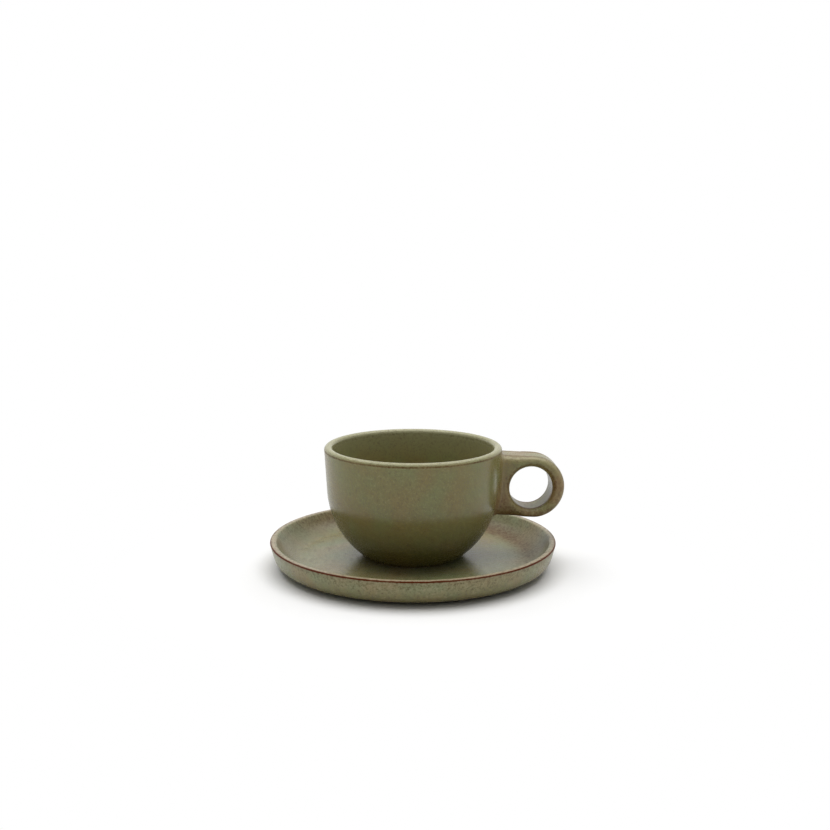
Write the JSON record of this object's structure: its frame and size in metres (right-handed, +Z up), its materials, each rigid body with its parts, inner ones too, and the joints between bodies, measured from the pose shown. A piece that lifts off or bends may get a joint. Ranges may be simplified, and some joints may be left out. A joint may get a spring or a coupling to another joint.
{
  "type": "coffee cup with saucer",
  "caption": "Round-bottomed stoneware coffee cup with a thick ring handle, standing on a flat saucer with a low upright wall, in a satin olive glaze that breaks to rust on its edges.",
  "frame": {"origin": "on the table, under the middle of the saucer", "axes": "+Z up along the axis of saucer and cup, +X along the handle, away from the cup"},
  "size_m": [0.1436, 0.14, 0.0601],
  "materials": {
    "olive_glaze": "satin reactive glaze, olive with fine brown and green speckle, breaking to rust brown on sharp edges"
  },
  "bodies": {
    "saucer": {"saucer": "olive_glaze"},
    "cup": {"cup_bowl": "olive_glaze", "cup_handle": "olive_glaze"}
  },
  "joints": [
    {"name": "cup_lift", "type": "slide", "parent": "saucer", "child": "cup", "axis": [0, 0, 1], "range_m": [0, 0.1]}
  ]
}
